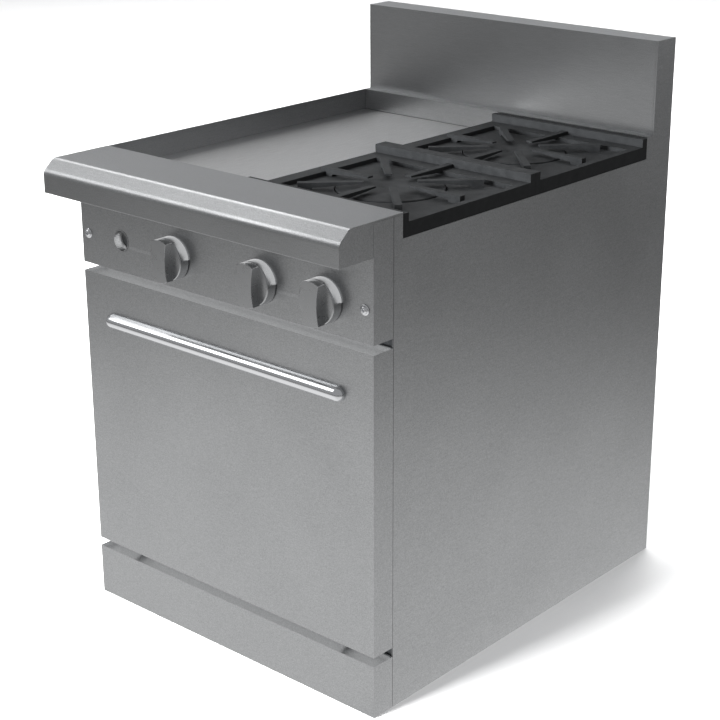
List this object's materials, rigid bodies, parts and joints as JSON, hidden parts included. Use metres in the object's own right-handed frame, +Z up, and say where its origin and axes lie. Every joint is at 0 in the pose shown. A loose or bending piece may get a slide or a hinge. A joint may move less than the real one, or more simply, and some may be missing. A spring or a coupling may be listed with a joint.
{
  "type": "commercial gas range",
  "caption": "Free-standing stainless gas range with a griddle, open burners under lift-off cast grates, and an oven with a drop-down door.",
  "frame": {"origin": "middle of the footprint, on the floor", "axes": "+Z up, +X to the right of a person facing the front, +Y towards the wall behind"},
  "size_m": [0.6096, 0.8084, 0.912],
  "materials": {
    "stainless": "brushed",
    "galvanised": "zinc coated",
    "griddle_steel": "ground",
    "steel": "plated",
    "cast_iron": "rough cast, seasoned",
    "chrome": "polished",
    "brass": "machined",
    "enamel": "fired vitreous enamel",
    "wool": "bonded mineral wool",
    "gasket": "woven glass fibre rope"
  },
  "bodies": {
    "cabinet": {"side_panel_left": "stainless", "side_panel_right": "stainless", "backguard": "stainless", "bullnose_ledge": "stainless", "control_panel": "stainless", "kick_panel": "stainless", "base_pan": "galvanised", "rear_panel": "galvanised", "front_frame": "galvanised", "thermostat_body": "galvanised", "burner_box": "galvanised", "flue_riser": "galvanised", "griddle_plate": "griddle_steel", "gas_manifold": "steel", "gas_inlet_pipe": "steel", "griddle_burner": "steel", "hinge_bracket_left": "steel", "hinge_bracket_right": "steel", "legend_strip_left": "steel", "legend_strip_right": "steel", "burner_cap_front": "cast_iron", "burner_cap_rear": "cast_iron", "burner_body_front": "cast_iron", "burner_body_rear": "cast_iron", "oven_burner": "cast_iron", "panel_screw_left": "chrome", "panel_screw_right": "chrome", "thermostat_collar": "chrome", "rack_guide_left": "chrome", "rack_guide_right": "chrome", "valve_griddle": "brass", "valve_burner_rear": "brass", "valve_burner_front": "brass", "oven_wall_left": "enamel", "oven_wall_right": "enamel", "oven_floor": "enamel", "oven_roof": "enamel", "oven_back": "enamel", "insulation_left": "wool", "insulation_right": "wool", "insulation_top": "wool", "oven_gasket": "gasket"},
    "door": {"door_shell": "stainless", "door_liner": "enamel", "door_insulation": "wool", "door_handle": "chrome", "hinge_pin_left": "steel", "hinge_pin_right": "steel"},
    "oven_control": {"thermostat_dial": "steel"},
    "front_grate": {"grate_front": "cast_iron"},
    "rear_grate": {"grate_rear": "cast_iron"},
    "trough": {"grease_trough": "stainless"},
    "rack": {"oven_rack": "chrome"},
    "griddle_control": {"knob_griddle": "chrome", "valve_stem_griddle": "steel"},
    "burner_rear_control": {"knob_burner_rear": "chrome", "valve_stem_burner_rear": "steel"},
    "burner_front_control": {"knob_burner_front": "chrome", "valve_stem_burner_front": "steel"}
  },
  "joints": [
    {"name": "door_hinge", "type": "hinge", "parent": "cabinet", "child": "door", "pos_m": [0, -0.32075, 0.104], "axis": [1, 0, 0], "range_deg": [0, 90], "stiffness_Nm_per_rad": 13, "springref_deg": -11.46},
    {"name": "griddle_knob_turn", "type": "hinge", "parent": "cabinet", "child": "griddle_control", "pos_m": [-0.0926, -0.33575, 0.6319], "axis": [0, -1, 0], "range_deg": [0, 90]},
    {"name": "burner_rear_knob_turn", "type": "hinge", "parent": "cabinet", "child": "burner_rear_control", "pos_m": [0.0881, -0.33575, 0.6319], "axis": [0, -1, 0], "range_deg": [0, 90]},
    {"name": "burner_front_knob_turn", "type": "hinge", "parent": "cabinet", "child": "burner_front_control", "pos_m": [0.2144, -0.33575, 0.6319], "axis": [0, -1, 0], "range_deg": [0, 90]},
    {"name": "thermostat_turn", "type": "hinge", "parent": "cabinet", "child": "oven_control", "pos_m": [-0.2124, -0.31575, 0.6347], "axis": [0, -1, 0], "range_deg": [-270, 0]},
    {"name": "front_grate_lift", "type": "slide", "parent": "cabinet", "child": "front_grate", "axis": [0, 0, 1], "range_m": [0, 0.12]},
    {"name": "rear_grate_lift", "type": "slide", "parent": "cabinet", "child": "rear_grate", "axis": [0, 0, 1], "range_m": [0, 0.12]},
    {"name": "trough_lift", "type": "slide", "parent": "cabinet", "child": "trough", "axis": [0, 0, 1], "range_m": [0, 0.1]},
    {"name": "rack_slide", "type": "slide", "parent": "cabinet", "child": "rack", "axis": [0, -1, 0], "range_m": [0, 0.055]}
  ]
}
